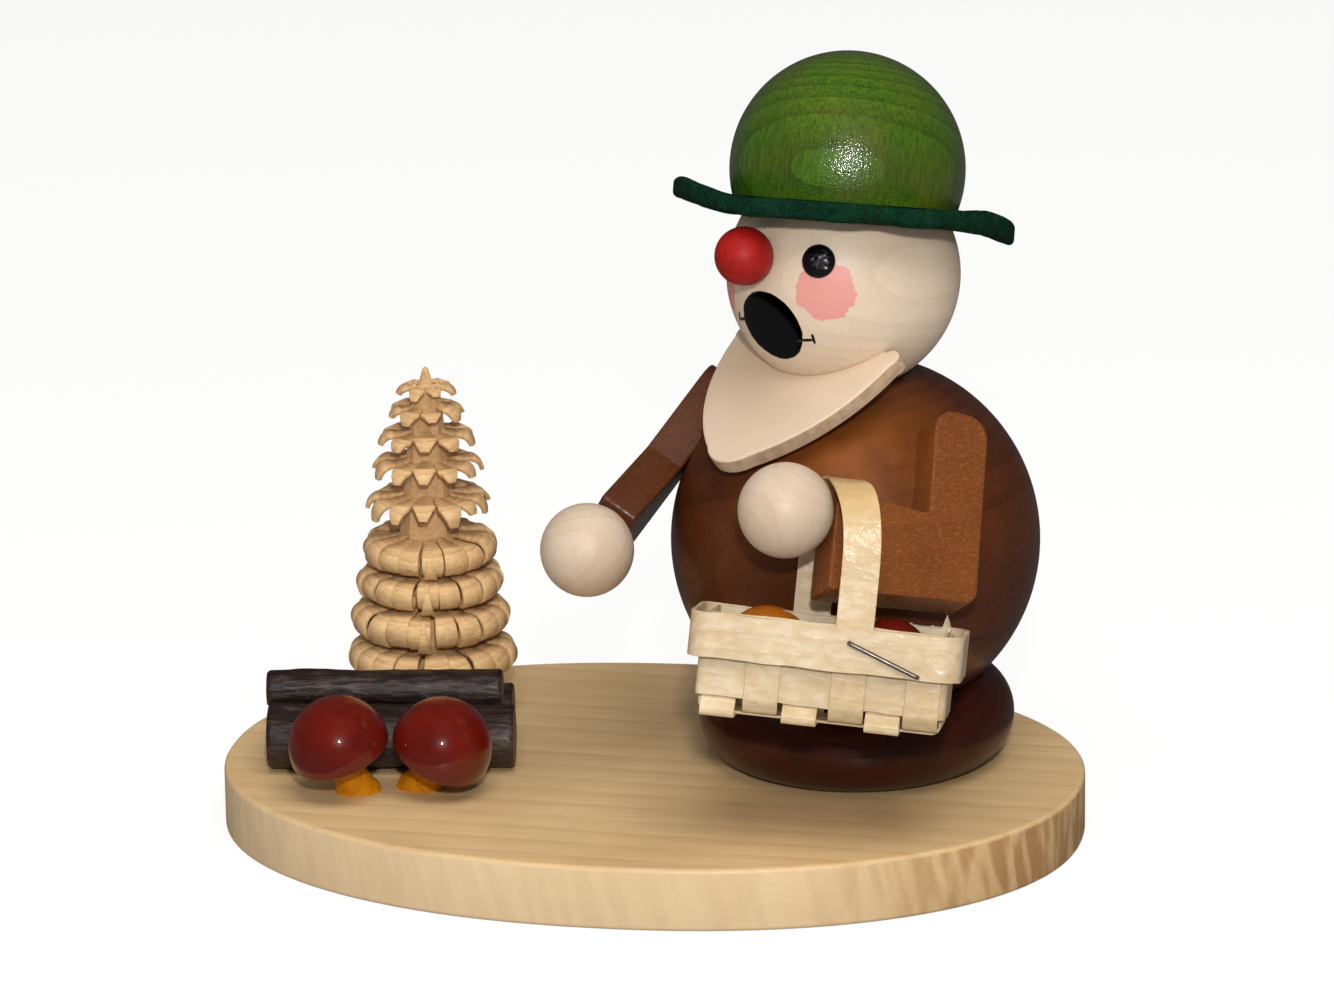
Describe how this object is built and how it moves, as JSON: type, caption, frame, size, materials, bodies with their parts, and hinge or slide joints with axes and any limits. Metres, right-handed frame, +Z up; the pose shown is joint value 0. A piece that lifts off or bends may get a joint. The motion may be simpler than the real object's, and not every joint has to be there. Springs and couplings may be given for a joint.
{
  "type": "incense smoker",
  "caption": "Turned wooden incense smoker: a mushroom picker with a chip basket, a shaving tree, firewood and mushrooms on an oval board.",
  "frame": {"origin": "middle of the oval board's underside", "axes": "+X along the board's length, +Y across it away from the side the group is looked at from, +Z up"},
  "size_m": [0.1502, 0.1104, 0.1347],
  "materials": {
    "pine_board": "satin",
    "dark_red_lacquer": "gloss",
    "brown_stain_body": "gloss",
    "brown_stain_arm": "gloss",
    "pale_wood": "satin",
    "red_ball": "satin",
    "black_lacquer": "gloss",
    "green_felt": "matte",
    "green_stain": "gloss",
    "chip_wood": "matte",
    "steel_wire": "satin",
    "tinplate": "satin",
    "tree_wood": "matte",
    "twig_bark": "satin",
    "mushroom_red": "gloss",
    "mushroom_orange": "gloss",
    "mushroom_stem": "satin"
  },
  "bodies": {
    "base": {"base_plate": "pine_board", "foot_disc": "dark_red_lacquer", "cone_dish": "tinplate", "dish_nail": "steel_wire", "shaving_tree": "tree_wood", "log_front": "twig_bark", "log_rear": "twig_bark", "log_top": "twig_bark", "mushroom_cap_left": "mushroom_red", "mushroom_stem_left": "mushroom_stem", "mushroom_cap_right": "mushroom_red", "mushroom_stem_right": "mushroom_stem"},
    "figure": {"body_ball": "brown_stain_body", "head_ball": "pale_wood", "nose_ball": "red_ball", "eye_left": "black_lacquer", "eye_right": "black_lacquer", "beard_board": "pale_wood", "hat_brim": "green_felt", "hat_crown": "green_stain", "arm_left": "brown_stain_arm", "hand_left": "pale_wood", "arm_right": "brown_stain_arm", "hand_right": "pale_wood"},
    "basket": {"basket_splint_1": "chip_wood", "basket_splint_2": "chip_wood", "basket_splint_3": "chip_wood", "basket_splint_4": "chip_wood", "basket_splint_5": "chip_wood", "basket_splint_6": "chip_wood", "basket_runner_1": "chip_wood", "basket_runner_2": "chip_wood", "basket_runner_3": "chip_wood", "basket_weaver": "chip_wood", "basket_rim": "chip_wood", "basket_inner_rim": "chip_wood", "basket_handle": "chip_wood", "basket_staple_front": "steel_wire", "basket_staple_back": "steel_wire", "basket_cap_left": "mushroom_orange", "basket_stem_left": "mushroom_stem", "basket_cap_right": "mushroom_red", "basket_stem_right": "mushroom_stem"}
  },
  "joints": [
    {"name": "figure_lift", "type": "slide", "parent": "base", "child": "figure", "axis": [0, 0, 1], "range_m": [0, 0.052]},
    {"name": "basket_swing", "type": "hinge", "parent": "figure", "child": "basket", "pos_m": [0.03912, -0.02918, 0.07053], "axis": [-0.9962, -0.0872, 0], "range_deg": [0, 10]}
  ]
}
